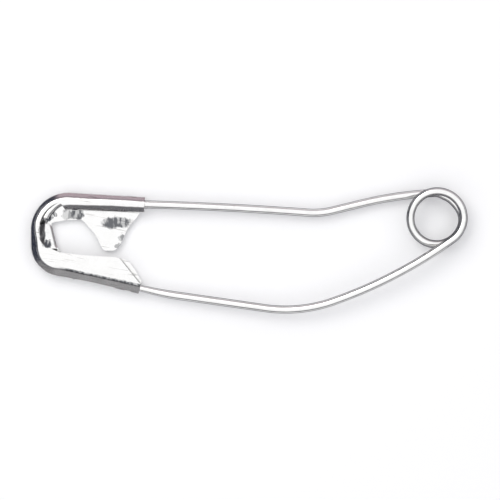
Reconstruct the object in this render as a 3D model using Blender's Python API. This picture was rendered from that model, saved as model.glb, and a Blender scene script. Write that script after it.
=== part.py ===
"""Curved safety pin, closed and lying on its back.

One spring wire is bent into a fixed arm, a coil and a needle arm with a tapered point. A folded
sheet cap is crimped round the end of the fixed arm, and its guard holds the point. On the bench
that is two pieces of metal. Here the wire is cut into the lengths that move against each other.

Units are metres. +X runs from the cap to the coil, +Y from the needle arm to the fixed arm and +Z
from the cap's back plate to its open front. The origin is the middle of the underside.
"""

import math

import bmesh
import bpy
from mathutils import Vector

# Overall size of the closed pin
PIN_LENGTH = 0.0380
PIN_WIDTH = 0.01104

# Wire and sheet
WIRE_DIAMETER = 0.00070
SHEET_THICKNESS = 0.00018
CHANNEL_PLAY = 0.00007
WIRE_CUT_GAP = 0.00005

# Coil
COIL_MEAN_RADIUS = 0.002295
COIL_LAYER_GAP = 0.00046
FIXED_ARM_COIL_ANGLE = math.radians(94.0)

# Fixed arm
FIXED_SWEEP_RADIUS = 0.0300
FIXED_BEND_RADIUS = 0.0045
FIXED_BEND_FROM_COIL = 0.01052
FIXED_BEND_DROP = 0.00221
FIXED_BOW_RADIUS = 0.3000
HOOK_START_INSIDE_CRIMP = 0.00070
HOOK_BEND_RADIUS = 0.0020
HOOK_TURN = math.radians(50.0)
HOOK_END_LENGTH = 0.00070

# Needle arm
NEEDLE_SWEEP_RADIUS = 0.0390
NEEDLE_BEND_RADIUS = 0.0080
NEEDLE_BEND_FROM_COIL = 0.01296
NEEDLE_MOUTH_BEND_RADIUS = 0.0120
NEEDLE_MOUTH_PLAY = 0.00003
POINT_TAPER_LENGTH = 0.0090
POINT_TIP_DIAMETER = 0.00006
POINT_TO_SIDE = 0.0023
POINT_CUT_FROM_MOUTH = 0.00040
POINT_TAPER_EXPONENT = 0.8

# Cap: the middle line of its rolled rim runs along the crimp, down the side and along the guard
CRIMP_REACH = 0.00934
CRIMP_SLOPE = math.radians(3.44)
CRIMP_LENGTH = 0.00708
CAP_TOP_DROP = 0.00088
CAP_SIDE = 0.00572
CAP_TOP_CORNER_RADIUS = 0.00269
CAP_LOWER_CORNER_RADIUS = 0.00243
GUARD_REACH = 0.00916
GUARD_SLOPE = math.radians(13.2)
LIP_WIDTH = 0.00016
LIP_LENGTH = 0.0048
SHEET_CORNER_RADIUS = 0.00030
CUTTER_OVERRUN = 0.00050
PLATE_SET_IN = 0.00004
SLOT_SET_IN = 0.00006

# Edges of the cap's two plates, as shares of the crimp's reach and of the side, from the top corner
BACK_EDGE_SHARES = (
    (0.960, 1.250),
    (0.904, 1.093),
    (0.835, 0.950),
    (0.700, 0.915),
    (0.435, 0.890),
    (0.216, 0.850),
    (0.170, 0.740),
    (0.138, 0.515),
    (0.120, 0.390),
    (0.250, 0.352),
    (0.417, 0.335),
    (0.441, 0.394),
    (0.546, 0.576),
    (0.604, 0.813),
    (0.730, 0.813),
    (0.779, 0.700),
    (0.835, 0.470),
    (0.928, 0.307),
    (0.966, 0.196),
)
GUARD_EDGE_SHARES = (
    (0.942, 1.290),
    (0.921, 1.242),
    (0.762, 0.915),
    (0.435, 0.883),
    (0.216, 0.842),
    (0.127, 0.780),
    (0.068, 0.742),
)

# Smoothness
CHORD_ERROR = 0.000008
LOOP_POINTS = 24
COIL_BEVEL_RESOLUTION = 1
WIRE_BEVEL_RESOLUTION = 4
RIM_BEVEL_RESOLUTION = 6
WELD_DISTANCE = 0.0000001
TAPER_RINGS = 12
GAP_MEASURE_POINTS = 240

# Nickel plate, wire and cap
NICKEL_COLOR = (0.78, 0.77, 0.76, 1.0)
WIRE_ROUGHNESS = 0.16
CAP_ROUGHNESS = 0.20

# Worked out from the sizes above
WIRE_RADIUS = WIRE_DIAMETER / 2
CHANNEL_RADIUS = WIRE_RADIUS + CHANNEL_PLAY
RIM_RADIUS = CHANNEL_RADIUS + SHEET_THICKNESS
CAP_THICKNESS = 2 * RIM_RADIUS
COIL_OUTER_RADIUS = COIL_MEAN_RADIUS + WIRE_RADIUS
COIL_CENTRE = Vector((PIN_LENGTH / 2 - COIL_OUTER_RADIUS, PIN_WIDTH / 2 - COIL_OUTER_RADIUS))
COIL_LOW_HEIGHT = WIRE_RADIUS
COIL_HIGH_HEIGHT = COIL_LOW_HEIGHT + WIRE_DIAMETER + COIL_LAYER_GAP
CHANNEL_HEIGHT = RIM_RADIUS
COIL_END_RUN = WIRE_DIAMETER + WIRE_CUT_GAP


def towards(angle):
    return Vector((math.cos(angle), math.sin(angle)))


def left_of(direction):
    return Vector((-direction.y, direction.x))


def angle_of(direction):
    return math.atan2(direction.y, direction.x)


def smooth_step(share):
    share = min(max(share, 0), 1)
    return share * share * (3 - 2 * share)


def circle_crossing(centre_a, radius_a, centre_b, radius_b, side):
    """The point where two circles cross, left of the line from a to b where side is 1, right where -1."""
    apart = centre_b - centre_a
    along = (apart.length_squared + radius_a**2 - radius_b**2) / (2 * apart.length)
    across = math.sqrt(radius_a**2 - along**2)
    forward = apart.normalized()
    return centre_a + forward * along + left_of(forward) * across * side


def arc(centre, start, end, turn):
    """Points from start to end about centre, anticlockwise where turn is 1, clockwise where -1."""
    radius = (start - centre).length
    first = angle_of(start - centre)
    sweep = turn * (angle_of(end - centre) - first) % math.tau
    step = 2 * math.acos(1 - CHORD_ERROR / radius)
    count = max(math.ceil(sweep / step), 1)
    return [centre + radius * towards(first + turn * sweep * i / count) for i in range(count + 1)]


def joined(*stretches):
    """The stretches as one list of points, each meeting point kept once."""
    points = []
    for stretch in stretches:
        for point in stretch:
            if not points or (point - points[-1]).length > WELD_DISTANCE:
                points.append(point)
    return points


def with_round_corners(corners, radii):
    """A path through the corners, each inner one rounded by its radius or by what its legs allow."""
    points = [corners[0]]
    for before, corner, after, radius in zip(corners, corners[1:], corners[2:], radii):
        arriving = (corner - before).normalized()
        leaving = (after - corner).normalized()
        turned = arriving.angle_signed(leaving)
        half = math.tan(abs(turned) / 2)
        if half * radius < WELD_DISTANCE:
            points.append(corner)
            continue
        room = min((corner - before).length, (after - corner).length) / 2
        cut = min(radius * half, room)
        turn = -1 if turned > 0 else 1
        start = corner - arriving * cut
        centre = start + left_of(arriving) * turn * cut / half
        points += arc(centre, start, corner + leaving * cut, turn)
    return joined(points, [corners[-1]])


def lengths_along(points):
    lengths = [0]
    for before, after in zip(points, points[1:]):
        lengths.append(lengths[-1] + (after - before).length)
    return lengths


def stretch_of(points, start, end):
    """The part of a path between two lengths along it."""
    lengths = lengths_along(points)
    found = []
    for i, (before, after) in enumerate(zip(points, points[1:])):
        for cut in (start, end):
            if lengths[i] < cut < lengths[i + 1]:
                share = (cut - lengths[i]) / (lengths[i + 1] - lengths[i])
                found.append((cut, before.lerp(after, share)))
    inner = [(at, point) for at, point in zip(lengths, points) if start <= at <= end]
    return joined([point for _, point in sorted(found + inner, key=lambda item: item[0])])


def inset(points, distance):
    """The path moved to its left by a distance."""
    moved = []
    for i, point in enumerate(points):
        before = points[max(i - 1, 0)]
        after = points[min(i + 1, len(points) - 1)]
        moved.append(point + left_of((after - before).normalized()) * distance)
    return moved


def raised(points, start_height, end_height):
    """Plan points given heights that change smoothly from one end of the path to the other."""
    lengths = lengths_along(points)
    rise = end_height - start_height
    return [
        Vector((*point, start_height + rise * smooth_step(at / lengths[-1])))
        for point, at in zip(points, lengths)
    ]


def nickel(name, roughness):
    material = bpy.data.materials.new(name)
    material.use_nodes = True
    shader = material.node_tree.nodes["Principled BSDF"]
    shader.inputs["Base Color"].default_value = NICKEL_COLOR
    shader.inputs["Metallic"].default_value = 1.0
    shader.inputs["Roughness"].default_value = roughness
    return material


def placed(name, data, origin):
    obj = bpy.data.objects.new(name, data)
    obj.location = origin
    bpy.context.scene.collection.objects.link(obj)
    return obj


def tube(name, points, radius, resolution, origin, radius_shares=None):
    """A round wire along 3-D points, as a bevelled curve whose origin is the one given."""
    curve = bpy.data.curves.new(name, "CURVE")
    curve.dimensions = "3D"
    curve.twist_mode = "Z_UP"
    curve.bevel_depth = radius
    curve.bevel_resolution = resolution
    curve.use_fill_caps = True
    spline = curve.splines.new("POLY")
    spline.points.add(len(points) - 1)
    for i, point in enumerate(points):
        spline.points[i].co = (*(point - origin), 1)
        spline.points[i].radius = radius_shares[i] if radius_shares else 1
    spline.use_smooth = True
    return placed(name, curve, origin)


def turned_into_mesh(obj):
    """The curve object replaced by a mesh of the same name and place, welded at its caps."""
    bpy.context.view_layer.update()
    graph = bpy.context.evaluated_depsgraph_get()
    mesh = bpy.data.meshes.new_from_object(obj.evaluated_get(graph))
    solid = bmesh.new()
    solid.from_mesh(mesh)
    bmesh.ops.remove_doubles(solid, verts=solid.verts, dist=WELD_DISTANCE)
    bmesh.ops.recalc_face_normals(solid, faces=solid.faces)
    solid.to_mesh(mesh)
    solid.free()
    name, origin = obj.name, obj.location.copy()
    bpy.data.objects.remove(obj)
    return placed(name, mesh, origin)


def plate(name, outline, low, high):
    """A flat sheet with this outline between two heights."""
    solid = bmesh.new()
    corners = [solid.verts.new((*point, low)) for point in outline]
    base = solid.faces.new(corners)
    grown = bmesh.ops.extrude_face_region(solid, geom=[base])
    lifted = [item for item in grown["geom"] if isinstance(item, bmesh.types.BMVert)]
    bmesh.ops.translate(solid, verts=lifted, vec=(0, 0, high - low))
    bmesh.ops.recalc_face_normals(solid, faces=solid.faces)
    mesh = bpy.data.meshes.new(name)
    solid.to_mesh(mesh)
    solid.free()
    return placed(name, mesh, Vector((0, 0, 0)))


def boolean(target, other, operation):
    other.hide_render = True
    other.display_type = "WIRE"
    modifier = target.modifiers.new(other.name, "BOOLEAN")
    modifier.operation = operation
    modifier.solver = "MANIFOLD"
    modifier.object = other


def cap_corner():
    """Where the middle lines of the crimp and of the cap's side would cross, were they not rounded."""
    return Vector((RIM_RADIUS - PIN_LENGTH / 2, PIN_WIDTH / 2 - CAP_TOP_DROP))


def cap_point(shares):
    """A place on the cap from shares of the crimp's reach and of the side."""
    across, down = shares
    return cap_corner() + Vector((across * CRIMP_REACH, -down * CAP_SIDE))


def rim_path():
    """The middle line of the cap's rolled rim, from the crimp's open end to the guard's mouth."""
    top = cap_corner()
    lower = top - Vector((0, CAP_SIDE))
    crimp_end = top + towards(-CRIMP_SLOPE) * CRIMP_REACH
    mouth = lower + towards(-GUARD_SLOPE) * GUARD_REACH
    radii = (CAP_TOP_CORNER_RADIUS, CAP_LOWER_CORNER_RADIUS)
    return with_round_corners([crimp_end, top, lower, mouth], radii)


def clasp_cap():
    rim = rim_path()
    rim_length = lengths_along(rim)[-1]
    open_rim = stretch_of(rim, CRIMP_LENGTH, rim_length)
    upright = Vector((0, 0, CHANNEL_HEIGHT))
    origin = Vector((0, 0, 0))

    outer = [point.to_3d() + upright for point in rim]
    cap = turned_into_mesh(tube("clasp_cap", outer, RIM_RADIUS, RIM_BEVEL_RESOLUTION, origin))
    cap.data.materials.append(nickel("nickel_cap", CAP_ROUGHNESS))

    back_edge = [cap_point(shares) for shares in BACK_EDGE_SHARES]
    radii = [SHEET_CORNER_RADIUS] * len(back_edge)
    back_rim = inset(stretch_of(rim, SHEET_THICKNESS, rim_length - SHEET_THICKNESS), PLATE_SET_IN)
    back_outline = joined(back_rim, with_round_corners(back_edge, radii))
    boolean(cap, plate("back_plate", back_outline, 0, SHEET_THICKNESS), "UNION")

    guard_edge = [cap_point(shares) for shares in GUARD_EDGE_SHARES]
    radii = [SHEET_CORNER_RADIUS] * len(guard_edge)
    lip_edge = inset(stretch_of(open_rim, 0, LIP_LENGTH), LIP_WIDTH)
    front_rim = stretch_of(rim, CRIMP_LENGTH - SHEET_THICKNESS, rim_length - SHEET_THICKNESS)
    front_rim = inset(front_rim, PLATE_SET_IN)
    guard_outline = joined(front_rim, with_round_corners(guard_edge, radii), reversed(lip_edge))
    front = plate("front_wall", guard_outline, CAP_THICKNESS - SHEET_THICKNESS, CAP_THICKNESS)
    boolean(cap, front, "UNION")

    before_crimp = rim[0] + (rim[0] - rim[1]).normalized() * CUTTER_OVERRUN
    past_mouth = rim[-1] + (rim[-1] - rim[-2]).normalized() * CUTTER_OVERRUN
    bore_line = [point.to_3d() + upright for point in joined([before_crimp], rim, [past_mouth])]
    bore = turned_into_mesh(tube("channel_bore", bore_line, CHANNEL_RADIUS, RIM_BEVEL_RESOLUTION, origin))
    boolean(cap, bore, "DIFFERENCE")

    slot_rim = inset(joined(open_rim, [past_mouth]), SLOT_SET_IN)
    slot_depth = RIM_RADIUS + CUTTER_OVERRUN
    far_side = [inset(slot_rim, slot_depth)[-1], inset(slot_rim, slot_depth)[0]]
    slot = plate("channel_slot", slot_rim + far_side, SHEET_THICKNESS, CAP_THICKNESS - SHEET_THICKNESS)
    boolean(cap, slot, "DIFFERENCE")
    return cap


def hook_path():
    """The fixed arm's end inside the head, from its tip to where it leaves the crimp."""
    rim = rim_path()
    crimp = stretch_of(rim, 0, CRIMP_LENGTH - HOOK_START_INSIDE_CRIMP)
    arriving = (crimp[-1] - crimp[-2]).normalized()
    centre = crimp[-1] + left_of(arriving) * HOOK_BEND_RADIUS
    bend_end = centre + towards(angle_of(crimp[-1] - centre) + HOOK_TURN) * HOOK_BEND_RADIUS
    bend = arc(centre, crimp[-1], bend_end, 1)
    tip = bend_end + towards(angle_of(arriving) + HOOK_TURN) * HOOK_END_LENGTH
    return joined([tip], reversed(bend), reversed(crimp))


def fixed_arm_plan():
    """The fixed arm seen from the front, from the crimp's open end to the cut before the coil."""
    leaving = hook_path()[-1]
    coil_heading = FIXED_ARM_COIL_ANGLE - math.pi / 2
    coil_touch = COIL_CENTRE + towards(FIXED_ARM_COIL_ANGLE) * COIL_MEAN_RADIUS
    end = coil_touch - towards(coil_heading) * COIL_END_RUN
    sweep_centre = end - left_of(towards(coil_heading)) * FIXED_SWEEP_RADIUS

    bend_x = COIL_CENTRE.x - FIXED_BEND_FROM_COIL
    bend_low = PIN_WIDTH / 2 - FIXED_BEND_DROP
    bend_centre = Vector((bend_x, bend_low + FIXED_BEND_RADIUS))
    bow_reach = FIXED_BOW_RADIUS + FIXED_BEND_RADIUS
    bow_centre = circle_crossing(leaving, FIXED_BOW_RADIUS, bend_centre, bow_reach, -1)
    bow_touch = bow_centre.lerp(bend_centre, FIXED_BOW_RADIUS / bow_reach)

    between = sweep_centre - bend_centre
    both_radii = FIXED_BEND_RADIUS + FIXED_SWEEP_RADIUS
    heading = angle_of(between) + math.asin(both_radii / between.length)
    across = left_of(towards(heading))
    bend_touch = bend_centre - across * FIXED_BEND_RADIUS
    sweep_touch = sweep_centre + across * FIXED_SWEEP_RADIUS
    return joined(
        arc(bow_centre, leaving, bow_touch, -1),
        arc(bend_centre, bow_touch, bend_touch, 1),
        arc(sweep_centre, sweep_touch, end, -1),
    )


def fixed_arm():
    hook = raised(hook_path(), CHANNEL_HEIGHT, CHANNEL_HEIGHT)
    arm = raised(fixed_arm_plan(), CHANNEL_HEIGHT, COIL_LOW_HEIGHT)
    wire = tube("fixed_arm", joined(hook, arm), WIRE_RADIUS, WIRE_BEVEL_RESOLUTION, hook[-1])
    wire.data.materials.append(nickel("nickel_fixed_arm", WIRE_ROUGHNESS))
    return wire


def needle_sweep():
    """Centres of the needle's bend and of its long sweep, and its angle on the coil."""
    bend_low = WIRE_RADIUS - PIN_WIDTH / 2
    bend_centre = Vector((COIL_CENTRE.x - NEEDLE_BEND_FROM_COIL, bend_low + NEEDLE_BEND_RADIUS))
    inside = NEEDLE_SWEEP_RADIUS - COIL_MEAN_RADIUS
    reach = math.hypot(inside, COIL_END_RUN)
    sweep_centre = circle_crossing(
        bend_centre, NEEDLE_SWEEP_RADIUS - NEEDLE_BEND_RADIUS, COIL_CENTRE, reach, 1
    )
    coil_angle = angle_of(COIL_CENTRE - sweep_centre) - math.atan2(COIL_END_RUN, inside)
    return bend_centre, sweep_centre, coil_angle


def coil_place(turned):
    """A point on the coil after turning this far clockwise from the fixed arm."""
    sweep, overlap = coil_turns()
    climb = smooth_step((turned - overlap) / (sweep - 2 * overlap))
    height = COIL_LOW_HEIGHT + (COIL_HIGH_HEIGHT - COIL_LOW_HEIGHT) * climb
    around = COIL_CENTRE + towards(FIXED_ARM_COIL_ANGLE - turned) * COIL_MEAN_RADIUS
    return Vector((*around, height))


def coil_turns():
    """How far the coil turns in all, and how much of that lies over or under itself."""
    _, _, needle_angle = needle_sweep()
    overlap = (FIXED_ARM_COIL_ANGLE - needle_angle) % math.tau
    return math.tau + overlap, overlap


def coil_path():
    """The coil's middle line, straight for one wire diameter at each end."""
    sweep, _ = coil_turns()
    step = math.tau / LOOP_POINTS
    first = FIXED_ARM_COIL_ANGLE % step
    inner = [first + i * step for i in range(math.ceil((sweep - first) / step))]
    points = [coil_place(turned) for turned in [0, *inner, sweep]]
    start_heading = towards(FIXED_ARM_COIL_ANGLE - math.pi / 2).to_3d()
    end_heading = towards(FIXED_ARM_COIL_ANGLE - sweep - math.pi / 2).to_3d()
    before = points[0] - start_heading * WIRE_DIAMETER
    after = points[-1] + end_heading * WIRE_DIAMETER
    return joined([before], points, [after])


def least_coil_gap():
    """The least gap of the coil to itself, between points at least half a turn apart."""
    sweep, _ = coil_turns()
    step = math.tau / GAP_MEASURE_POINTS
    places = [coil_place(i * step) for i in range(math.ceil(sweep / step) + 1)]
    half_turn = GAP_MEASURE_POINTS // 2
    apart = (
        (a - b).length for i, a in enumerate(places) for b in places[i + half_turn :]
    )
    return min(apart) - WIRE_DIAMETER


def spring_coil():
    origin = Vector((*COIL_CENTRE, COIL_LOW_HEIGHT))
    coil = tube("spring_coil", coil_path(), WIRE_RADIUS, COIL_BEVEL_RESOLUTION, origin)
    coil.data.materials.append(nickel("nickel_spring_coil", WIRE_ROUGHNESS))
    print(f"least gap of the coil to itself: {least_coil_gap():.6f} m")
    return coil


def taper_share(from_tip):
    """The needle's radius as a share of the wire's, this far from the tip."""
    tip_share = POINT_TIP_DIAMETER / WIRE_DIAMETER
    grown = min(from_tip / POINT_TAPER_LENGTH, 1) ** POINT_TAPER_EXPONENT
    return tip_share + (1 - tip_share) * grown


def point_rest():
    """The point's middle line in the guard, from the mouth to the tip, against the guard's outer side."""
    rim = rim_path()
    rim_length = lengths_along(rim)[-1]
    point_length = GUARD_REACH - POINT_TO_SIDE
    guard = list(reversed(stretch_of(rim, rim_length - point_length, rim_length)))
    mouth_radius = WIRE_RADIUS * taper_share(point_length)
    return inset(guard, CHANNEL_RADIUS - mouth_radius - NEEDLE_MOUTH_PLAY)


def needle_plan():
    """The whole needle seen from the front, from the cut after the coil to its tip."""
    bend_centre, sweep_centre, coil_angle = needle_sweep()
    coil_touch = COIL_CENTRE + towards(coil_angle) * COIL_MEAN_RADIUS
    start = coil_touch + towards(coil_angle - math.pi / 2) * COIL_END_RUN
    out = (bend_centre - sweep_centre).normalized()
    sweep_end = sweep_centre + out * NEEDLE_SWEEP_RADIUS
    lowest = bend_centre - Vector((0, NEEDLE_BEND_RADIUS))

    rest = point_rest()
    to_bend = bend_centre - rest[0]
    heading = angle_of(to_bend) - math.asin(NEEDLE_BEND_RADIUS / to_bend.length)
    bend_touch = bend_centre - left_of(towards(heading)) * NEEDLE_BEND_RADIUS
    corners = [bend_touch, rest[0], rest[-1]]
    return joined(
        arc(sweep_centre, start, sweep_end, -1),
        arc(bend_centre, sweep_end, lowest, -1),
        arc(bend_centre, lowest, bend_touch, -1),
        with_round_corners(corners, [NEEDLE_MOUTH_BEND_RADIUS]),
    )


def needle_stretch(name, start, end, level_from):
    """The needle between two lengths along it, with a point at each ring of its taper."""
    plan = needle_plan()
    whole = lengths_along(plan)[-1]
    rings = [whole - POINT_TAPER_LENGTH * i / TAPER_RINGS for i in range(TAPER_RINGS + 1)]
    cuts = sorted({start, end, *[at for at in rings if start < at < end]})
    flat = joined(*[stretch_of(plan, first, last) for first, last in zip(cuts, cuts[1:])])
    points, shares = [], []
    for point, passed in zip(flat, lengths_along(flat)):
        climb = smooth_step(1 - (start + passed) / level_from)
        height = CHANNEL_HEIGHT + (COIL_HIGH_HEIGHT - CHANNEL_HEIGHT) * climb
        points.append(Vector((*point, height)))
        shares.append(taper_share(max(whole - start - passed, 0)))
    origin = Vector((*plan[0], COIL_HIGH_HEIGHT))
    wire = tube(name, points, WIRE_RADIUS, WIRE_BEVEL_RESOLUTION, origin, shares)
    wire.data.materials.append(nickel(f"nickel_{name}", WIRE_ROUGHNESS))
    return wire


def needle_pieces():
    whole = lengths_along(needle_plan())[-1]
    cut = whole - lengths_along(point_rest())[-1] - POINT_CUT_FROM_MOUTH
    needle_stretch("needle_arm", 0, cut - WIRE_CUT_GAP, cut)
    needle_stretch("needle_point", cut, whole, cut)


def main():
    for obj in list(bpy.data.objects):
        bpy.data.objects.remove(obj)
    clasp_cap()
    fixed_arm()
    spring_coil()
    needle_pieces()


main()
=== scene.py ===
# %% [markdown]
# # A curved safety pin
#
# This pin is two pieces of metal. One is a spring wire, bent into an arm, a coil and a second arm
# that ends in a point. The other is a small folded sheet, the cap. It is squeezed round the end of
# the first arm, and its folded lower edge guards the point.
#
# The cell below loads the measured solids. Each cell after it builds one visible piece round those
# solids, or one finish.

import math

import bpy
import numpy as np
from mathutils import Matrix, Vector, noise


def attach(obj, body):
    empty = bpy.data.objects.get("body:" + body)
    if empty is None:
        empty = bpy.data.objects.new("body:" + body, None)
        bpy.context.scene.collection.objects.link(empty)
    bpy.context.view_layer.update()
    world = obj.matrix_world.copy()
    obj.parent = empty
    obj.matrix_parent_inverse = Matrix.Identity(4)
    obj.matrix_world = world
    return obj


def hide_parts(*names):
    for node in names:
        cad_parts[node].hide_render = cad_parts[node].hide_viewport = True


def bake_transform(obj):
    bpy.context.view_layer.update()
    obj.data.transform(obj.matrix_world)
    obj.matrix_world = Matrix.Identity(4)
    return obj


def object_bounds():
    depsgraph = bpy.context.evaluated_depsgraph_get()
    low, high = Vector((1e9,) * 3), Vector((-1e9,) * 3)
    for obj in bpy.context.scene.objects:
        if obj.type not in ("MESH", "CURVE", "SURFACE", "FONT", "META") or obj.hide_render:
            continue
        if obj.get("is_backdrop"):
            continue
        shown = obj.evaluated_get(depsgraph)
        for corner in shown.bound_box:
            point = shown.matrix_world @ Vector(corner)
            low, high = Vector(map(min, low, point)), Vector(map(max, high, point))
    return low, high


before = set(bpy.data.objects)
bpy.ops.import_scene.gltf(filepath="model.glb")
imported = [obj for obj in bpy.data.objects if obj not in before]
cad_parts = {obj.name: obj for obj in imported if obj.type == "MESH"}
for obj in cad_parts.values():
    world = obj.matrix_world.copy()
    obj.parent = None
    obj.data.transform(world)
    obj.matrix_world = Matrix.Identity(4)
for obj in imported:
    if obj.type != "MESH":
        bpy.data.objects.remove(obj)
cad_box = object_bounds()

# %% [markdown]
# ## The wire's route
#
# A wire bender works in two moves: it feeds the wire straight, or it turns it round a former of
# some radius. A list of such moves is the shortest true account of a bent wire, so each arm is
# written as one. A curve drawn by eye could follow the photo too, but the radii of its bends
# wouldn't be known. Lengths here are in millimetres and turns in degrees, anticlockwise seen from
# the front.

# %% Feed and bend
MM = 0.001
WIRE_DIAMETER = 0.70 * MM
WIRE_RADIUS = WIRE_DIAMETER / 2
STEP = 0.12 * MM


def towards(angle):
    return Vector((math.cos(angle), math.sin(angle)))


def left_of(direction):
    return Vector((-direction.y, direction.x))


def smooth_step(share):
    share = min(max(share, 0), 1)
    return share * share * (3 - 2 * share)


def bent_line(start, heading, moves):
    """Points along a line that is fed straight (a length) or bent (a radius and a turn)."""
    points = [Vector(start) * MM]
    angle = math.radians(heading)
    for move in moves:
        radius, turn = move if isinstance(move, tuple) else (0, 0)
        turn = math.radians(turn)
        length = (radius * abs(turn) if turn else move) * MM
        count = max(round(length / STEP), 2)
        part = turn / count
        chord = 2 * radius * MM * math.sin(abs(part) / 2) if turn else length / count
        for _ in range(count):
            angle += part / 2
            points.append(points[-1] + towards(angle) * chord)
            angle += part / 2
    return points


def lengths_along(points):
    lengths = [0.0]
    for before, after in zip(points, points[1:]):
        lengths.append(lengths[-1] + (after - before).length)
    return lengths


# %% [markdown]
# ## A round wire from a route
#
# Blender can give a curve a round section, which is just what a die does to a wire. A circle
# extruded from bend to bend would do too, but a curve keeps its section round and square to the
# route by itself. The curve is then turned into a mesh, and its loose ring ends are merged.
#
# Drawn wire has fine lines along it, and its flanks are painted darker, as painted shade. To let
# the finish follow the wire round its bends, every vertex is told how far along the wire it lies
# and where round the section it is.

# %% Draw a wire
SECTION_DETAIL = 10
MERGE = 0.0000005
SMOOTH_ANGLE = math.radians(50)


def active_only(obj):
    bpy.ops.object.select_all(action="DESELECT")
    obj.select_set(True)
    bpy.context.view_layer.objects.active = obj


def cleaned(obj):
    """Doubles merged and every face turned outward."""
    active_only(obj)
    bpy.ops.object.mode_set(mode="EDIT")
    bpy.ops.mesh.select_all(action="SELECT")
    bpy.ops.mesh.remove_doubles(threshold=MERGE)
    bpy.ops.mesh.normals_make_consistent(inside=False)
    bpy.ops.object.mode_set(mode="OBJECT")
    return obj


def note_wire_lines(obj, points):
    """A vector on each vertex: millimetres along the wire, and the direction round its section."""
    line = np.array([tuple(p) for p in points])
    along = np.array(lengths_along(points))
    co = np.zeros(len(obj.data.vertices) * 3)
    obj.data.vertices.foreach_get("co", co)
    co = co.reshape(-1, 3)
    nearest = np.linalg.norm(co[:, None] - line[None], axis=2).argmin(axis=1)
    out = co - line[nearest]
    out /= np.maximum(np.linalg.norm(out, axis=1), MERGE)[:, None]
    ahead = np.gradient(line, axis=0)
    ahead /= np.linalg.norm(ahead, axis=1)[:, None]
    side = np.cross(np.array([0, 0, 1.0]), ahead)[nearest]
    noted = np.stack([along[nearest] / MM, (out * side).sum(axis=1), out[:, 2]], axis=1)
    attribute = obj.data.attributes.new("wire_line", "FLOAT_VECTOR", "POINT")
    attribute.data.foreach_set("vector", noted.astype(np.float32).ravel())


def drawn_wire(name, points, shares=None):
    bpy.ops.object.select_all(action="DESELECT")
    bpy.ops.curve.primitive_nurbs_path_add(location=(0, 0, 0))
    wire = bpy.context.object
    wire.name = wire.data.name = name
    wire.data.splines.clear()
    spline = wire.data.splines.new("POLY")
    spline.points.add(len(points) - 1)
    for i, point in enumerate(points):
        spline.points[i].co = (*point, 1)
        spline.points[i].radius = shares[i] if shares else 1
    spline.use_smooth = True
    wire.data.twist_mode = "Z_UP"
    wire.data.bevel_depth = WIRE_RADIUS
    wire.data.bevel_resolution = SECTION_DETAIL
    wire.data.use_fill_caps = True
    bpy.ops.object.convert(target="MESH")
    wire = cleaned(bpy.context.object)
    note_wire_lines(wire, points)
    bpy.ops.object.shade_smooth_by_angle(angle=SMOOTH_ANGLE)
    length = lengths_along(points)[-1] / MM
    print(f"{name}: {length:.1f} mm of wire, {len(wire.data.polygons)} faces")
    return wire


# %% [markdown]
# ## The fixed arm
#
# It leaves the coil low, rises slightly into the cap, and ends in a short hook that shows where the
# cap's rolled edge stops. The hook keeps the cap from being pulled off. The route starts at the
# coil's end, so that the arm meets the coil exactly, and the rise is added to it afterwards.

# %% Fixed arm
COIL_CENTRE = Vector((16.325, 2.835)) * MM
COIL_RADIUS = 2.295 * MM
COIL_LOW = 0.35 * MM
COIL_HIGH = 1.51 * MM
ARM_IN_CAP = 0.56 * MM
FIXED_ARM_START = (15.4243, 4.9644)
FIXED_ARM_HEADING = 184.0
FIXED_ARM_MOVES = [
    (33.79, 9.732),
    2.547,
    (6.865, -17.944),
    (310.28, 2.694),
    (3.0, -1.922),
]
HOOK_MOVES = [6.00, (2.0, 50.0), 0.40, (1.8, 20.0), 0.10]


def climbing(points, start_height, end_height, climb_length):
    """Plan points with heights that change smoothly over the first part of their length."""
    return [
        Vector((*p, start_height + (end_height - start_height) * smooth_step(at / climb_length)))
        for p, at in zip(points, lengths_along(points))
    ]


arm_route = bent_line(FIXED_ARM_START, FIXED_ARM_HEADING, FIXED_ARM_MOVES)
arm_length = lengths_along(arm_route)[-1]
fixed_route = bent_line(FIXED_ARM_START, FIXED_ARM_HEADING, FIXED_ARM_MOVES + HOOK_MOVES)
fixed_wire = drawn_wire("fixed_wire", climbing(fixed_route, COIL_LOW, ARM_IN_CAP, arm_length))

# %% [markdown]
# ## The needle
#
# The needle leaves the coil in its upper layer, sweeps out to the belly that lets it dip under
# thick layers of cloth, and runs into the cap's guard. Its last nine millimetres are ground to a
# point. The curve's own radius at each point makes that taper. A cone joined on at the end would
# leave a ring where the two meet. The needle comes down to the guard's height as it reaches the
# mouth, and its last seven millimetres are level.

# %% Needle
NEEDLE_START = (17.0145, 0.5211)
NEEDLE_HEADING = -145.31
NEEDLE_MOVES = [
    (40.81, -15.35),
    (12.51, -27.39),
    7.69,
    (24.21, -5.14),
    7.55,
]
NEEDLE_IN_GUARD = 0.485 * MM
NEEDLE_LEVEL_PART = 7.0 * MM
POINT_TAPER = 9.0 * MM
POINT_TIP_SHARE = 0.085
POINT_TAPER_POWER = 0.8


def taper_share(from_tip):
    grown = min(from_tip / POINT_TAPER, 1) ** POINT_TAPER_POWER
    return POINT_TIP_SHARE + (1 - POINT_TIP_SHARE) * grown


needle_route = bent_line(NEEDLE_START, NEEDLE_HEADING, NEEDLE_MOVES)
needle_length = lengths_along(needle_route)[-1]
needle_at = lengths_along(needle_route)
needle_shares = [taper_share(max(needle_length - at, 0)) for at in needle_at]
needle_fall = needle_length - NEEDLE_LEVEL_PART
needle_line = climbing(needle_route, COIL_HIGH, NEEDLE_IN_GUARD, needle_fall)
needle_wire = drawn_wire("needle_wire", needle_line, needle_shares)
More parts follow.
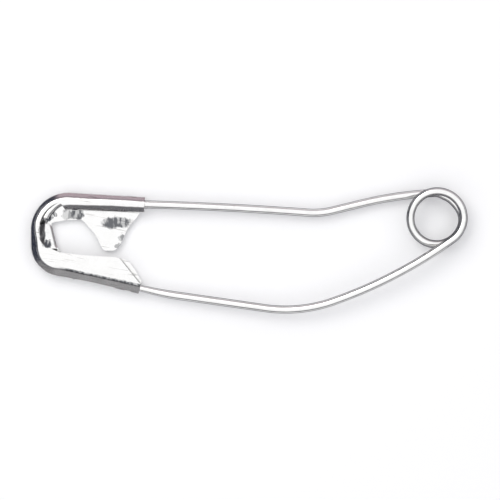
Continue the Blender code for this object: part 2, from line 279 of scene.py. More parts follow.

# %% [markdown]
# ## The coil
#
# The coil turns about 1.4 times and climbs from the lower to the upper layer where the two don't
# overlap. A Screw modifier would climb evenly all the way, so the points are worked out one by one.
# On the real pin the lower layer sits a little inside the upper one, which shows as a second dark
# line inside the ring. The radius dips there for the same reason.
#
# When the real pin opens, its coil unwinds, each bit of wire turning by its share of the needle's
# swing. A short straight at each end runs on to meet the arm.

# %% Spring coil
COIL_FROM = math.radians(94.0)
COIL_TURN = math.radians(509.3097)
COIL_OVERLAP = COIL_TURN - math.tau
CUT_GAP = 0.05 * MM
COIL_STRAIGHT = WIRE_DIAMETER + CUT_GAP
COIL_STEPS = 150
STRAIGHT_STEPS = 5
DIP_AT_ARM = 0.108 * MM
DIP_MORE = 0.150 * MM
DIP_GROWTH = 0.5
DIP_END = 1.9
DIP_FADE = 1.1


def coil_point(turned):
    climb = smooth_step((turned - COIL_OVERLAP) / (COIL_TURN - 2 * COIL_OVERLAP))
    depth = DIP_AT_ARM + DIP_MORE * smooth_step(turned / DIP_GROWTH)
    dip = depth * smooth_step((DIP_END - turned) / DIP_FADE)
    around = COIL_CENTRE + towards(COIL_FROM - turned) * (COIL_RADIUS - dip)
    return Vector((*around, COIL_LOW + (COIL_HIGH - COIL_LOW) * climb))


def coil_heading(turned):
    return towards(COIL_FROM - turned - math.pi / 2).to_3d()


coil_line = [coil_point(COIL_TURN * i / COIL_STEPS) for i in range(COIL_STEPS + 1)]
straight_in = [
    coil_line[0] - coil_heading(0) * COIL_STRAIGHT * (1 - i / STRAIGHT_STEPS)
    for i in range(STRAIGHT_STEPS)
]
straight_out = [
    coil_line[-1] + coil_heading(COIL_TURN) * COIL_STRAIGHT * (i + 1) / STRAIGHT_STEPS
    for i in range(STRAIGHT_STEPS)
]
coil_wire = drawn_wire("coil_wire", straight_in + coil_line + straight_out)

# %% [markdown]
# ## The cap's edge line
#
# The cap is one thin sheet, folded over along a line that runs from the crimp's open end, round the
# closed end of the pin, and along the guard to its mouth. Everything about the sheet is measured
# from that fold line: how far its back reaches inward, and how far its front does.

# %% Fold line
RIM_START = (-9.0768, 4.0796)
RIM_HEADING = 176.56
RIM_MOVES = [
    6.477,
    (2.69, 93.44),
    1.308,
    (2.15, 79.8),
    2.2,
    (20.0, -3.0),
    4.06,
]
CRIMP_LENGTH = 7.08 * MM
LIP_END = 11.88 * MM
LIP_WIDTH = 0.17

rim_line = bent_line(RIM_START, RIM_HEADING, RIM_MOVES)
rim_at = lengths_along(rim_line)
rim_inward = [
    left_of((after - before).normalized())
    for before, after in zip([rim_line[0], *rim_line], [*rim_line[1:], rim_line[-1]])
]
print(f"fold line: {rim_at[-1] / MM:.2f} mm, {len(rim_line)} stations")

# %% [markdown]
# ## The sheet's two edges
#
# The back edge draws the window and the pointed tab. The front edge draws the guard's top and its
# slanted mouth. A Boolean could cut them after the folding, but it leaves uneven faces along the
# cut, and polished metal shows them. So the edges are worked out first, each from a short list of
# corners, in millimetres. From every station on the fold line a ruler is laid inward, and the
# length at which it crosses the edge is how far the sheet reaches. The lengths are then averaged
# over a few stations, which rounds the corners as a press tool does, and the front edge gets a
# slight raggedness, as on the real cap.

# %% Edges of the sheet
BACK_EDGE = [
    (-9.25, -3.10), (-9.434, -2.510), (-9.957, -1.612), (-10.601, -0.794),
    (-11.862, -0.594), (-14.337, -0.451), (-16.383, -0.222), (-16.812, 0.407),
    (-17.111, 1.694), (-17.279, 2.409), (-16.065, 2.627), (-14.505, 2.724),
    (-14.281, 2.386), (-13.300, 1.345), (-12.759, -0.010), (-11.582, -0.010),
    (-11.124, 0.636), (-10.601, 1.952), (-9.733, 2.884), (-9.378, 3.519), (-8.90, 4.30),
]
FRONT_EDGE = [
    (-9.20, -3.277), (-9.600, -2.733), (-9.798, -2.464), (-11.283, -0.594), (-14.337, -0.411),
    (-16.383, -0.176), (-17.214, 0.178), (-17.765, 0.398), (-18.235, 1.300),
]
EDGE_ROUNDING = 2
EDGE_JAG = 0.03
JAGS_PER_MM = 6
PARALLEL = 1e-9


def ruler_reach(station, inward, edge):
    """Millimetres from a fold point inward to the first crossing with an edge, or None."""
    found = []
    for a, b in zip(edge, edge[1:]):
        a, b = Vector(a) - station / MM, Vector(b) - station / MM
        run = b - a
        across = inward.cross(run)
        if abs(across) < PARALLEL:
            continue
        reach, share = a.cross(run) / across, a.cross(inward) / across
        if 0 <= share <= 1 and reach > 0:
            found.append(reach)
    return min(found) if found else None


def rounded_lengths(lengths, rounding):
    padded = [lengths[0]] * rounding + lengths + [lengths[-1]] * rounding
    width = 2 * rounding + 1
    return [sum(padded[i:i + width]) / width for i in range(len(lengths))]


def filled(lengths):
    """Stations that no ruler crossing was found for take their neighbour's length."""
    known = [i for i, length in enumerate(lengths) if length is not None]
    return [lengths[min(known, key=lambda k: abs(k - i))] for i in range(len(lengths))]


back_reach = filled([ruler_reach(p, n, BACK_EDGE) for p, n in zip(rim_line, rim_inward)])
back_reach = rounded_lengths(back_reach, EDGE_ROUNDING)
front_reach = [
    ruler_reach(p, n, FRONT_EDGE) if at > LIP_END else LIP_WIDTH
    for p, n, at in zip(rim_line, rim_inward, rim_at)
]
front_reach = rounded_lengths(filled(front_reach), EDGE_ROUNDING)
front_reach = [
    reach + (EDGE_JAG * noise.noise(Vector((at / MM * JAGS_PER_MM, 0, 9))) if at > LIP_END else 0)
    for reach, at in zip(front_reach, rim_at)
]
print(f"back reaches {min(back_reach):.2f} to {max(back_reach):.2f} mm")
print(f"front reaches {min(front_reach):.2f} to {max(front_reach):.2f} mm")

# %% [markdown]
# ## Corners and samples
#
# Cut the cap across its fold line and the sheet shows as a bent strip. So each section is a few
# corners with rounded bends, sampled at a fixed number of places, and the sections side by side
# make a regular grid. A bend is rounded with a quadratic Bezier curve, which needs only blends
# between three points. A Bevel modifier could round it too, but it would change the number of
# points in a section.

# %% Rounded corners
BEND_PIECES = 6
MOST_CUT_SHARE = 0.48


def rounded_corners(corners, radii):
    """A polyline through corners (distance in from the fold line, height), its bends rounded."""
    points = [Vector(corners[0])]
    for before, corner, after, radius in zip(corners, corners[1:], corners[2:], radii):
        before, corner, after = Vector(before), Vector(corner), Vector(after)
        arriving, leaving = (corner - before).normalized(), (after - corner).normalized()
        half = math.tan(arriving.angle(leaving) / 2)
        most = MOST_CUT_SHARE
        cut = min(radius * half, (corner - before).length * most, (after - corner).length * most)
        first, last = corner - arriving * cut, corner + leaving * cut
        for i in range(BEND_PIECES + 1):
            share = i / BEND_PIECES
            points.append(first.lerp(corner, share).lerp(corner.lerp(last, share), share))
    return points + [Vector(corners[-1])]


def sampled(points, count, length=None):
    """This many points, evenly spaced over a length of a polyline."""
    at = lengths_along(points)
    wanted = np.linspace(0, at[-1] if length is None else length, count)
    xs, ys = [p.x for p in points], [p.y for p in points]
    return list(zip(np.interp(wanted, at, xs), np.interp(wanted, at, ys)))


# %% [markdown]
# ## How the section changes along the fold
#
# The sheet isn't bent alike all along. Small tables say how far in the shoulder lies, how steep the
# outside is, and how deep the crimp is rolled, each at some millimetres along the fold line, and
# numpy reads between the rows. The slopes that show from above stay at 41.5 degrees or less. To a
# camera up there, a mirror that steep shows the dark foot of the walls, and beyond 45 degrees it
# would show the table.

# %% Tables along the fold line
SHEET = 0.18
CAP_HEIGHT = 1.20
RIM_OUT = 0.60
BACK_Z = SHEET / 2
FRONT_Z = CAP_HEIGHT - SHEET / 2
WALL_OUT = SHEET / 2 - RIM_OUT
UPPER_SLOPE = math.tan(math.radians(41.5))
ROLL_SLOPE = math.tan(math.radians(41.0))

SHOULDER_IN = [
    (0.0, -0.09), (3.0, -0.09), (4.7, -0.04), (7.0, -0.06), (9.0, -0.12), (10.0, -0.14),
    (11.0, -0.06), (11.7, 0.05), (12.2, 0.12), (12.8, 0.09), (13.8, 0.05), (14.5, 0.11),
    (15.3, 0.20), (16.3, 0.18), (17.4, 0.13), (18.8, 0.14), (22.4, 0.16),
]
LOWER_ANGLE = [(13.8, 37.5), (15.0, 31.0)]
UPPER_RUN = [(13.8, 0.15), (15.0, 0.12)]
ROLL_DEPTH = [(0.0, 0.80), (3.0, 0.84), (5.0, 0.89), (7.1, 0.95)]
ROLL_FLANK = [(0.0, 0.44), (3.0, 0.45), (7.1, 0.40)]
WAVE = 0.018
LONG_WAVES_PER_MM = 0.9
SHORT_WAVES_PER_MM = 3


def read_off(table, at):
    """A value between the rows of a table of (millimetres along the fold line, value)."""
    return float(np.interp(at / MM, [row[0] for row in table], [row[1] for row in table]))


def wave(at, seed):
    """A slow unevenness that a hand-fed press leaves along a bend, in millimetres."""
    long_wave = noise.noise(Vector((at / MM * LONG_WAVES_PER_MM, seed, 0)))
    short_wave = noise.noise(Vector((at / MM * SHORT_WAVES_PER_MM, seed, 5)))
    return WAVE * (long_wave + short_wave)


print(f"shoulder at the mouth: {read_off(SHOULDER_IN, rim_at[-1]):.2f} mm in from the fold")

# %% [markdown]
# ## The front of the section
#
# Along the guard the front is flat, and its length is the front edge's reach. Along the crimp it
# goes on down round the wire: that is what holds the arm. The two are joined where the crimp stops,
# by letting the roll give way to the flat strip over less than a millimetre.

# %% Front strip
FRONT_POINTS = 26
SHOULDER_CORNER = 0.05
LONG_STRIP = 6.0
UNROLL_LENGTH = 0.9 * MM
ROLL_FOOT_IN = 0.03
ROLL_FOOT_Z = 0.30
ROLL_RADII = [0.14, 0.10]
TRIM_LEAD = 0.35 * MM
TRIM_LENGTH = 0.8 * MM


def front_strip(at, reach):
    """The front of the sheet from the shoulder: flat, or rolled down round the wire."""
    start = read_off(SHOULDER_IN, at) + SHOULDER_CORNER
    flat = [Vector((start, FRONT_Z)), Vector((start + LONG_STRIP, FRONT_Z))]
    rolled_share = 1 - smooth_step((at - CRIMP_LENGTH) / UNROLL_LENGTH)
    if rolled_share <= 0:
        return sampled(flat, FRONT_POINTS, reach - start)
    depth = read_off(ROLL_DEPTH, at) - SHEET / 2
    flank = read_off(ROLL_FLANK, at)
    top = depth - flank + wave(at, 2)
    foot = FRONT_Z - (depth - top) * ROLL_SLOPE
    roll = rounded_corners(
        [(start, FRONT_Z), (top, FRONT_Z), (depth, foot), (depth - ROLL_FOOT_IN, ROLL_FOOT_Z)],
        ROLL_RADII,
    )
    whole = lengths_along(roll)[-1]
    trim_share = 1 - smooth_step((at - CRIMP_LENGTH + TRIM_LEAD) / TRIM_LENGTH)
    length = (reach - start) + (whole - reach + start) * trim_share
    return sampled(roll, FRONT_POINTS, length)


print(f"front strip: {FRONT_POINTS} points, rolled for {CRIMP_LENGTH / MM:.2f} mm")

# %% [markdown]
# ## The back of the section
#
# The back is flat, with the window and the tab cut in it. At the closed end the real sheet has
# nowhere to go when it is folded round the bend, so it crumples and stands up in steps inside the
# rim. The floor there is blended into a curled one. A least run between corners keeps the strip
# from folding back over itself where the back is narrow.

# %% Back floor
FLAT_FLOOR = [(0.22, BACK_Z), (0.55, BACK_Z), (0.13, BACK_Z), (WALL_OUT, BACK_Z)]
CURLED_FLOOR = [(0.20, 0.24), (0.58, 0.30), (0.12, 0.70), (WALL_OUT, 0.74)]
CURL_SHARE = [(9.7, 0.0), (10.5, 1.0), (12.9, 1.0), (13.9, 0.0)]
LEAST_RUN = 0.03


def floor_corners(at, back):
    """Corners of the back from its edge outward: flat, but curled up at the closed end."""
    curl = smooth_step(read_off(CURL_SHARE, at))
    pairs = zip(FLAT_FLOOR, CURLED_FLOOR)
    corners = [Vector(flat).lerp(Vector(curled), curl) for flat, curled in pairs]
    corners[0].x = back - corners[0].x
    corners = [Vector((back, BACK_Z)), *corners]
    for before, corner in zip(corners, corners[1:]):
        corner.x = min(corner.x, before.x - LEAST_RUN)
    return corners


print(f"floor: {len(FLAT_FLOOR)} corners, curled from {CURL_SHARE[0][0]} to {CURL_SHARE[-1][0]} mm")

# %% [markdown]
# ## The whole section
#
# From the back's edge the section runs out along the floor, up the outside, over the shoulder's two
# slopes and in along the front. The back and the side are sampled apart, each with its own number
# of points, so that the grid's lines stay at the rim and don't drift where the back gets wider.

# %% Section across the fold
BACK_POINTS = 30
SIDE_POINTS = 34
BACK_SPLIT = 18
FLOOR_RADII = [0.06, 0.08, 0.10, 0.30]
RIM_RADII = [0.0, 0.06, 0.05]
SHOULDER_RUN = 0.2
LEAST_WALL = 0.08
LEAST_FRONT = 0.12


def section(at, back, front):
    top = read_off(SHOULDER_IN, at) + wave(at, 1)
    upper_run = read_off(UPPER_RUN, at)
    lower_slope = math.tan(math.radians(read_off(LOWER_ANGLE, at)))
    step_z = FRONT_Z - upper_run * UPPER_SLOPE
    wall_z = step_z - (top - upper_run - WALL_OUT) * lower_slope
    floor = floor_corners(at, back)
    floor[-1].y = min(floor[-1].y, wall_z - LEAST_WALL)
    rim = [
        (WALL_OUT, wall_z), (top - upper_run, step_z), (top, FRONT_Z), (top + SHOULDER_RUN, FRONT_Z)
    ]
    outer = rounded_corners([*floor, *rim], [*FLOOR_RADII, *RIM_RADII])[:-1]
    return (
        sampled(outer[:BACK_SPLIT + 1], BACK_POINTS)[:-1]
        + sampled(outer[BACK_SPLIT:], SIDE_POINTS)[:-1]
        + front_strip(at, max(front, top + LEAST_FRONT))
    )


sections = [section(at, b, f) for at, b, f in zip(rim_at, back_reach, front_reach)]
print(f"sections: {len(sections)} of {len(sections[0])} points")

# %% [markdown]
# ## Fold the sheet
#
# The piece starts as what the press starts from: a flat grid of sheet. Each of its vertices is
# carried to its place in its section. A strip extruded edge by edge would do too, but the grid has
# even faces everywhere, which a mirror finish needs. Solidify then gives the sheet its thickness,
# and a small Bevel breaks the cut edges, which catch the light on the real cap.
#
# At tight corners the Bevel leaves a few edges with no length. The sheet is cut into triangles, and
# Dissolve Degenerate takes out the edges under half a thousandth of a millimetre. In metres that is
# too small a number for the tool, so the sheet is folded in millimetres and scaled down at the end.

# %% Cap sheet
BROKEN_EDGE = 0.055
CUT_EDGE_ANGLE = math.radians(70)
LEAST_EDGE = 0.0005

section_points = len(sections[0])
bpy.ops.object.select_all(action="DESELECT")
bpy.ops.mesh.primitive_grid_add(
    x_subdivisions=section_points - 1, y_subdivisions=len(sections) - 1, size=1, location=(0, 0, 0)
)
cap_sheet = bpy.context.object
cap_sheet.name = cap_sheet.data.name = "cap_sheet"
places = []
for point, inward, row in zip(rim_line, rim_inward, sections):
    for distance, height in row:
        place = point / MM + inward * distance
        places += [place.x, place.y, height]
cap_sheet.data.vertices.foreach_set("co", places)

thickness = cap_sheet.modifiers.new("thickness", "SOLIDIFY")
thickness.thickness = SHEET
thickness.offset = 0
thickness.use_even_offset = True
broken_edge = cap_sheet.modifiers.new("broken_edge", "BEVEL")
broken_edge.width = BROKEN_EDGE
broken_edge.segments = 2
broken_edge.limit_method = "ANGLE"
broken_edge.angle_limit = CUT_EDGE_ANGLE
active_only(cap_sheet)
for modifier in ("thickness", "broken_edge"):
    bpy.ops.object.modifier_apply(modifier=modifier)
bpy.ops.object.mode_set(mode="EDIT")
bpy.ops.mesh.select_all(action="SELECT")
bpy.ops.mesh.quads_convert_to_tris()
bpy.ops.mesh.dissolve_degenerate(threshold=LEAST_EDGE)
bpy.ops.object.mode_set(mode="OBJECT")
cap_sheet.scale = (MM, MM, MM)
bpy.ops.object.transform_apply(location=False, rotation=False, scale=True)
bpy.ops.object.shade_smooth_by_angle(angle=SMOOTH_ANGLE)
print(f"cap sheet: {len(cap_sheet.data.polygons)} faces")

# %% [markdown]
# ## Writing a finish as sums
#
# A finish is easier to read as arithmetic than as a web of nodes. This small class wraps a socket,
# so that + - * on it add the Math nodes, and one method adds any other node. The short methods
# after it are the nodes that these finishes use most.

# %% Shader arithmetic
class Amount:
    """A number or colour that varies over a surface."""

    def __init__(self, finish, socket):
        self.finish, self.socket = finish, socket

    def _with(self, operation, first, second):
        return self.finish.node("ShaderNodeMath", {"operation": operation}, {0: first, 1: second})

    def __add__(self, other):
        return self._with("ADD", self, other)

    def __mul__(self, other):
        return self._with("MULTIPLY", self, other)

    def __sub__(self, other):
        return self._with("SUBTRACT", self, other)

    def __rsub__(self, other):
        return self._with("SUBTRACT", other, self)

    __radd__ = __add__
    __rmul__ = __mul__


class Finish:
    """One material and its nodes."""

    def __init__(self, name):
        self.material = bpy.data.materials.new(name)
        self.material.use_nodes = True
        self.nodes = self.material.node_tree.nodes
        self.links = self.material.node_tree.links
        self.shader = self.nodes["Principled BSDF"]

    def node(self, kind, settings=None, values=None, output=0):
        made = self.nodes.new(kind)
        for name, value in (settings or {}).items():
            if name == "stops":
                self._set_stops(made.color_ramp, value)
            else:
                setattr(made, name, value)
        for name, value in (values or {}).items():
            self.set(made.inputs[name], value)
        return Amount(self, made.outputs[output])

    def _set_stops(self, ramp, stops):
        while len(ramp.elements) < len(stops):
            ramp.elements.new(1.0)
        for element, (place, shade) in zip(ramp.elements, stops):
            element.position = place
            element.color = (shade, shade, shade, 1)

    def set(self, socket, value):
        if isinstance(value, Amount):
            self.links.new(value.socket, socket)
        else:
            socket.default_value = value

    def eased(self, value, start, end):
        """0 at the start value, 1 at the end value, and a smooth step between."""
        limits = {"Value": value, "From Min": start, "From Max": end}
        return self.node("ShaderNodeMapRange", {"interpolation_type": "SMOOTHSTEP"}, limits)

    def mix(self, share, first, second):
        """A colour mix: its colour sockets are the inputs 6 and 7 and the output 2."""
        settings = {"data_type": "RGBA"}
        return self.node("ShaderNodeMix", settings, {"Factor": share, 6: first, 7: second}, 2)

    def magnitude(self, value):
        return self.node("ShaderNodeMath", {"operation": "ABSOLUTE"}, {0: value})

    def larger(self, first, second):
        return self.node("ShaderNodeMath", {"operation": "MAXIMUM"}, {0: first, 1: second})

    def parts(self, vector, kind="ShaderNodeSeparateXYZ"):
        """The three parts of a vector or colour."""
        outputs = self.node(kind, values={0: vector}).socket.node.outputs
        return [Amount(self, outputs[i]) for i in range(3)]

    def noise(self, place, scale, detail, output=0):
        values = {"Vector": place, "Scale": scale, "Detail": detail}
        return self.node("ShaderNodeTexNoise", values=values, output=output)

    def object_place(self):
        return self.node("ShaderNodeTexCoord", output="Object")


def dress(piece, finish):
    piece.data.materials.clear()
    piece.data.materials.append(finish.material)


# %% [markdown]
# ## Nickel plate
#
# Bright nickel is a metal surface, so its colour is the colour of its reflections: a pale, slightly
# warm grey. It is never a perfect mirror. One colour and one roughness all over would look unreal.
# Plating builds up in faint clouds, and tumbling leaves fine scratches. Both dull the colour, raise
# the roughness a little and barely lift the surface. The wire and the sheet share this finish and
# differ in the run of their scratches, so a function that gives the scratches' place is passed in.

# %% Nickel
BRIGHT = (0.90, 0.895, 0.88, 1)
DULLED = (0.40, 0.385, 0.375, 1)
EDGE_TINT = (0.16, 0.16, 0.18, 1)
CLOUDS = {"Scale": 700.0, "Detail": 3.0, "Roughness": 0.6}
STREAK_DETAIL = 4.0
SCRATCH_STOPS = [(0.60, 0.0), (0.72, 1.0)]
CLOUD_STOPS = [(0.42, 0.0), (0.70, 1.0)]
CLOUD_COLOUR = 0.12
CLOUD_ROUGHNESS = 0.07
SCRATCH_ROUGHNESS = 0.08
CLOUD_HEIGHT = 0.5
BUMP_DISTANCE = 0.000010


def nickel(name, streak_place, streak_scale, roughness, streak_strength, bump_strength):
    finish = Finish(name)
    clouds = finish.node("ShaderNodeTexNoise", values={"Vector": finish.object_place(), **CLOUDS})
    streaks = finish.noise(streak_place(finish), streak_scale, STREAK_DETAIL)
    scratches = finish.node("ShaderNodeValToRGB", {"stops": SCRATCH_STOPS}, {0: streaks})
    dull = finish.node("ShaderNodeValToRGB", {"stops": CLOUD_STOPS}, {0: clouds})
    height = streaks + clouds * CLOUD_HEIGHT
    bump = {"Height": height, "Strength": bump_strength, "Distance": BUMP_DISTANCE}
    finish.colour = finish.mix(dull * CLOUD_COLOUR + scratches * streak_strength, BRIGHT, DULLED)
    shader = finish.shader.inputs
    finish.set(shader["Base Color"], finish.colour)
    finish.set(
        shader["Roughness"], dull * CLOUD_ROUGHNESS + scratches * SCRATCH_ROUGHNESS + roughness
    )
    finish.set(shader["Normal"], finish.node("ShaderNodeBump", values=bump))
    shader["Metallic"].default_value = 1.0
    shader["Specular Tint"].default_value = EDGE_TINT
    return finish


# %% [markdown]
# ## Nickel on the wire
#
# A die draws the wire's scratches along it, so they are stretched along the wire and fine round its
# section. Both flanks are painted darker: this is painted shade, which deepens the two dark lines
# that a wire shows from above. The painted shade follows how far up or down each point lies in the
# section. It is wider on the coil than on the arms.

# %% Nickel on the wire
WIRE_PLATE = {
    "streak_scale": 3.0, "roughness": 0.13, "streak_strength": 0.35, "bump_strength": 0.15
}
WIRE_STRETCH = (0.12, 6.0, 6.0)
# The flank colour below is painted shade, mixed in on the wire's two flanks.
FLANK_SHADE = (0.20, 0.20, 0.21, 1)
ARM_FLANK_SHADE = {"strength": 0.90, "rise": (0.60, 0.45)}
COIL_FLANK_SHADE = {"strength": 1.0, "rise": (0.72, 0.56)}


def wire_place(finish):
    return finish.node("ShaderNodeAttribute", {"attribute_name": "wire_line"}, output="Vector")


def along_wire(finish):
    """Drawing lines: long along the wire and fine round its section."""
    stretch = {0: wire_place(finish), 1: WIRE_STRETCH}
    return finish.node("ShaderNodeVectorMath", {"operation": "MULTIPLY"}, stretch)


def wire_nickel(name, strength, rise):
    """Nickel with painted shade darkening the wire's flanks."""
    finish = nickel(name, along_wire, **WIRE_PLATE)
    upward = finish.parts(wire_place(finish))[2]
    share = finish.eased(finish.magnitude(upward), *rise) * strength
    # Painted shade: the flanks' colour is mixed towards the dark flank colour.
    finish.set(finish.shader.inputs["Base Color"], finish.mix(share, finish.colour, FLANK_SHADE))
    return finish


arm_finish = wire_nickel("nickel_arms", **ARM_FLANK_SHADE)
dress(fixed_wire, arm_finish)
dress(needle_wire, arm_finish)
coil_finish = wire_nickel("nickel_coil", **COIL_FLANK_SHADE)
dress(coil_wire, coil_finish)
print("wire finishes:", arm_finish.material.name, coil_finish.material.name)

# %% [markdown]
# ## Film and painted shade on the sheet
#
# Dark patches are painted on the cap: under the hook, beside the crimp, at the closed end and in
# the fold along the guard. They are partly a dull film where nothing rubs and partly painted shade,
# where the hook, the lip and the fold shade the sheet. The tab of the real cap carries a stamped
# mark. It is left off, and only a dark patch of the same kind stays in its place. The patches could
# be painted on as a picture, but that needs an image file and a flattened map of the sheet.
# Ellipses and noise need neither.
#
# Each patch is an ellipse, given by its centre and half sizes in millimetres and its strength. One
# noise shifts the place that the ellipses are read at, another speckles their borders, and upright
# rubs wear them through. The line along the guard is a band on either side of a straight line. The
# patches are kept off the underside, which lies on the table and is rubbed bright.

# %% Film and painted shade on the sheet
# The dark colour below is laid on partly as film and partly as painted shade.
FILM_AND_SHADE = (0.075, 0.08, 0.09, 1)
FILM_AND_SHADE_PATCHES = [
    (-15.00, 3.16, 0.62, 0.42, 0.95),
    (-15.80, 3.13, 0.50, 0.45, 0.65),
    (-17.42, 2.85, 0.24, 0.36, 1.0),
    (-17.05, 3.20, 0.30, 0.22, 0.9),
    (-17.50, 0.58, 0.34, 0.30, 1.0),
    (-17.96, 1.60, 0.27, 1.20, 0.80),
    (-11.55, 2.42, 1.30, 0.50, 0.92),
    (-11.10, 1.12, 0.26, 0.36, 0.72),
    (-11.45, 0.42, 0.26, 0.20, 0.55),
]
DRIFT_NOISE = {"scale": 1900.0, "detail": 4.0}
SPECKLE_NOISE = {"scale": 6500.0, "detail": 3.0}
RUB_NOISE = {"scale": 3600.0, "detail": 2.0}
FILM_AND_SHADE_BORDER = (1.5, 0.5)
FILM_AND_SHADE_SPECKLE = 0.8
FILM_AND_SHADE_WARP = 0.75
FILM_AND_SHADE_BOTTOM = (0.05, 0.12)
RUB_STRETCH = (1.0, 0.32, 1.0)
RUB_RANGE = (0.47, 0.62)
RUB_STRENGTH = 0.50
CREASE_FROM = (-16.6, -1.49)
CREASE_TO = (-9.44, -3.03)
CREASE_WIDTH = 0.15
CREASE_CORE_SHARE = 0.5
CREASE_UNEVEN = 1.4
CREASE_FADE_IN = 0.8
CREASE_FADE_OUT = 0.3
# The strength below sets how dark the painted shade in the guard's fold is.
CREASE_SHADE = 0.9


def crease_shade(finish, x, y, uneven):
    """Painted shade: the dark line in the fold along the guard."""
    (left, high), (right, low) = CREASE_FROM, CREASE_TO
    slope = (low - high) / (right - left)
    off = y - high - (x - left) * slope + (uneven - 0.5) * CREASE_WIDTH * CREASE_UNEVEN
    band = finish.eased(finish.magnitude(off), CREASE_WIDTH, CREASE_WIDTH * CREASE_CORE_SHARE)
    begins = finish.eased(x, left, left + CREASE_FADE_IN)
    stops = finish.eased(x, right + CREASE_FADE_OUT, right)
    return band * (begins * stops) * CREASE_SHADE


def patch(finish, x, y, speckle, ellipse):
    middle_x, middle_y, half_x, half_y, strength = ellipse
    across, down = (x - middle_x) * (1 / half_x), (y - middle_y) * (1 / half_y)
    far = across * across + down * down + (speckle - 0.5) * FILM_AND_SHADE_SPECKLE
    return finish.eased(far, *FILM_AND_SHADE_BORDER) * strength


def film_and_shade_share(finish):
    """How much film and painted shade lies at each point of the sheet."""
    where = finish.object_place()
    stretch = {"Vector": where, "Scale": RUB_STRETCH}
    upright = finish.node("ShaderNodeMapping", {"vector_type": "POINT"}, stretch)
    drift = finish.noise(where, **DRIFT_NOISE, output=1)
    speckle = finish.noise(where, **SPECKLE_NOISE)
    rubs = finish.noise(upright, **RUB_NOISE)
    x, y, z = (part * (1 / MM) for part in finish.parts(where))
    total = crease_shade(finish, x, y, speckle)
    drift_x, drift_y, _ = finish.parts(drift, "ShaderNodeSeparateColor")
    x, y = x + (drift_x - 0.5) * FILM_AND_SHADE_WARP, y + (drift_y - 0.5) * FILM_AND_SHADE_WARP
    for ellipse in FILM_AND_SHADE_PATCHES:
        total = finish.larger(patch(finish, x, y, speckle, ellipse), total)
    worn = finish.eased(rubs, *RUB_RANGE) * RUB_STRENGTH
    return total * (1 - worn) * finish.eased(z, *FILM_AND_SHADE_BOTTOM)


print(f"film: {len(FILM_AND_SHADE_PATCHES)} patches and one line")

# %% [markdown]
# ## Nickel on the sheet
#
# The cap has rubbing marks that slant with the guard. A Mapping node set to Texture first turns the
# place and then divides it by the scale, so the marks run long in the slanting direction. Set to
# Point, it would turn last, and a noise that is alike in all directions doesn't show such a turn.

# %% Nickel on the sheet
SHEET_PLATE = {
    "streak_scale": 2600.0, "roughness": 0.15, "streak_strength": 0.70, "bump_strength": 0.10
}
MARK_TURN = (0, 0, math.radians(-10))
MARK_STRETCH = (7.0, 0.45, 1.0)


def along_sheet(finish):
    """Rubbing marks: long in one slanting direction over the sheet."""
    mapping = {"Vector": finish.object_place(), "Rotation": MARK_TURN, "Scale": MARK_STRETCH}
    return finish.node("ShaderNodeMapping", {"vector_type": "TEXTURE"}, mapping)


sheet_nickel = nickel("nickel_sheet", along_sheet, **SHEET_PLATE)
# The dark patches, partly film and partly painted shade, are mixed into the sheet's colour.
filmed_and_shaded = sheet_nickel.mix(film_and_shade_share(sheet_nickel), sheet_nickel.colour, FILM_AND_SHADE)
sheet_nickel.set(sheet_nickel.shader.inputs["Base Color"], filmed_and_shaded)
dress(cap_sheet, sheet_nickel)
print("sheet finish:", sheet_nickel.material.name, "with", len(sheet_nickel.nodes), "nodes")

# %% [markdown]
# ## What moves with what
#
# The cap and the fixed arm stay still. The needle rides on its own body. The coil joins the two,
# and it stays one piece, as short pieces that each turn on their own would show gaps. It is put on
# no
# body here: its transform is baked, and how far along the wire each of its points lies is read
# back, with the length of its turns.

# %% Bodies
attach(fixed_wire, "head")
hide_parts("fixed_arm")
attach(cap_sheet, "head")
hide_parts("clasp_cap")
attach(needle_wire, "needle")
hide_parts("needle_arm", "needle_point")
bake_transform(coil_wire)
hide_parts("spring_coil")

coil_vectors = np.zeros(len(coil_wire.data.vertices) * 3, np.float32)
coil_wire.data.attributes["wire_line"].data.foreach_get("vector", coil_vectors)
turning_length = lengths_along(coil_line)[-1]

# %% [markdown]
# ## Table
#
# The pin lies on a plain pale table. The table is set slightly lower than the pin, so that the thin
# wires cast a soft shade on both sides and no hard line. Its colour makes most of the white. The
# rest is a little light of its own, seen only by the camera, in reflections and through clear
# things, so it casts no light and the shade stays. More light on everything would whiten the table
# as well, but then the pale metal would clip.

# %% Table
TABLE_SIZE = 1.2
TABLE_DROP = 0.00042
TABLE_COLOUR = (0.95, 0.952, 0.96, 1)
TABLE_LIFT = (0.06, 0.06, 0.062, 1)
NO_LIGHT = (0, 0, 0, 1)

bpy.ops.object.select_all(action="DESELECT")
bpy.ops.mesh.primitive_plane_add(size=TABLE_SIZE, location=(0, 0, -TABLE_DROP))
table = bpy.context.object
table.name = "table"
table_finish = Finish("pale_table")
table_shader = table_finish.shader.inputs
table_shader["Base Color"].default_value = TABLE_COLOUR
table_shader["Roughness"].default_value = 0.8
table_shader["Specular IOR Level"].default_value = 0.2
seen = table_finish.node("ShaderNodeLightPath", output="Is Camera Ray")
mirrored = table_finish.node("ShaderNodeLightPath", output="Is Glossy Ray")
seen_through = table_finish.node("ShaderNodeLightPath", output="Is Transmission Ray")
lift = table_finish.mix(seen + mirrored + seen_through, NO_LIGHT, TABLE_LIFT)
table_finish.set(table_shader["Emission Color"], lift)
table_shader["Emission Strength"].default_value = 1.0
dress(table, table_finish)
table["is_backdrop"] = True
print(f"table: {TABLE_SIZE} m wide, {TABLE_DROP / MM:.2f} mm below the pin")

# %% [markdown]
# ## Sky
#
# Polished metal shows its surroundings, so the light is a sky of its own, written by direction: a
# wide bright ceiling straight above, grey walls with a dark foot, a darker wall on the left and a
# paler one behind. A picture of a studio wrapped round the scene is the usual way. Written by
# direction, each wall can be set by itself. A narrow fall from ceiling to wall gives each wire its
# white core and grey edges. The levels are set so that a pale surface renders as pale as it is
# written.

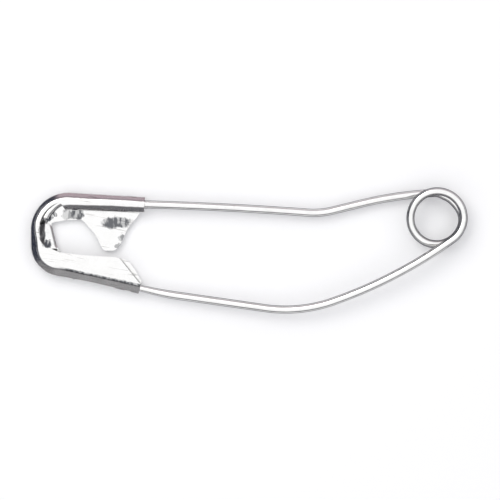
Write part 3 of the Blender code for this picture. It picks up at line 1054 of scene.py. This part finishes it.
# %% Sky
CEILING = (0.925, 0.935, 0.955, 1)
OVERHEAD = (1.10, 1.105, 1.12, 1)
WALL = (0.25, 0.245, 0.255, 1)
WALL_FOOT = (0.035, 0.04, 0.055, 1)
LEFT_WALL = (0.022, 0.026, 0.045, 1)
BACK_WALL = (0.46, 0.37, 0.41, 1)
LEFT_TURN = 0.36
LEFT_RANGE = (0.595, 0.745)
BACK_RANGE = (0.1, 0.8)
SOUTH_RANGE = (0.45, 0.75)
FOOT_RANGE = (0.22, 0.08)
FOOT_LOST_AT_BACK = 0.45
OVERHEAD_RANGE = (0.60, 0.84)
CEILING_RANGE = (0.34, 0.54)
CEILING_LATE_AT_LEFT = 0.12
CEILING_LATE_AT_SOUTH = 0.10


class Sky(Finish):
    """The world's nodes, written with the same sums."""

    def __init__(self, world):
        world.use_nodes = True
        self.nodes = world.node_tree.nodes
        self.links = world.node_tree.links
        self.shader = self.nodes["Background"]


world = bpy.data.worlds.new("studio")
bpy.context.scene.world = world
sky = Sky(world)
east, north, up = sky.parts(sky.node("ShaderNodeTexCoord", output="Generated"))
leftness = sky.eased(north * LEFT_TURN - east, *LEFT_RANGE)
backness = sky.eased(north, *BACK_RANGE)
southness = sky.eased(north * -1, *SOUTH_RANGE)

walls = sky.mix(backness, WALL, BACK_WALL)
walls = sky.mix(sky.eased(up, *FOOT_RANGE) * (1 - backness * FOOT_LOST_AT_BACK), walls, WALL_FOOT)
walls = sky.mix(leftness, walls, LEFT_WALL)
ceiling = sky.mix(sky.eased(up, *OVERHEAD_RANGE), CEILING, OVERHEAD)
height = up - leftness * CEILING_LATE_AT_LEFT - southness * CEILING_LATE_AT_SOUTH
lit = sky.mix(sky.eased(height, *CEILING_RANGE), walls, ceiling)
sky.set(sky.shader.inputs["Color"], lit)
sky.shader.inputs["Strength"].default_value = 1.0
print("sky:", len(sky.nodes), "nodes")

# %% [markdown]
# ## Lamp
#
# One soft round lamp at the back left adds the slight shade at the lower right. It is weak, because
# the sky gives most of the light. A small or distant lamp would give the shade a hard edge.

# %% Lamp
LAMP_PLACE = (-0.11, 0.13, 0.26)
LAMP_SIZE = 0.22
LAMP_ENERGY = 0.23
LAMP_COLOUR = (1.0, 0.975, 0.94)

bpy.ops.object.light_add(type="AREA", location=LAMP_PLACE)
lamp = bpy.context.object
lamp.name = "softbox"
lamp.data.shape = "DISK"
lamp.data.size = LAMP_SIZE
lamp.data.energy = LAMP_ENERGY
lamp.data.color = LAMP_COLOUR
lamp.rotation_euler = (-lamp.location).to_track_quat("-Z", "Y").to_euler()
print(f"lamp: {lamp.location.length:.2f} m from the pin")

# %% [markdown]
# ## Camera
#
# The photo looks straight down, and shows no sign of perspective. An orthographic camera would be
# quite flat. A long lens some way off is nearly so, and is what a photographer has. The camera's
# distance is worked out from the width that the photo covers at the pin.

# %% Camera
PHOTO_WIDTH = 43.46 * MM
LENS = 200.0
SENSOR = 36.0
LOOK_AT = Vector((0.096, 0.043, 0.9)) * MM

bpy.ops.object.camera_add(location=LOOK_AT + Vector((0, 0, PHOTO_WIDTH * LENS / SENSOR)))
camera = bpy.context.object
camera.rotation_euler = (0, 0, 0)
camera.data.lens = LENS
camera.data.sensor_width = SENSOR
camera.data.clip_start = 0.01
camera.data.clip_end = 5.0
bpy.context.scene.camera = camera
bpy.context.scene.view_settings.view_transform = "Standard"
print(f"camera: {camera.location.z:.3f} m above the pin's underside")

# %% [markdown]
# ## Sizes
#
# The box of the solids alone, taken right after they were loaded, and the box of the dressed pin
# are printed side by side.

# %% Sizes
visual_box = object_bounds()
sizes = {"cad": [list(v) for v in cad_box], "visual": [list(v) for v in visual_box]}
for label, corners in sizes.items():
    print(label, [[round(c / MM, 3) for c in corner] for corner in corners])
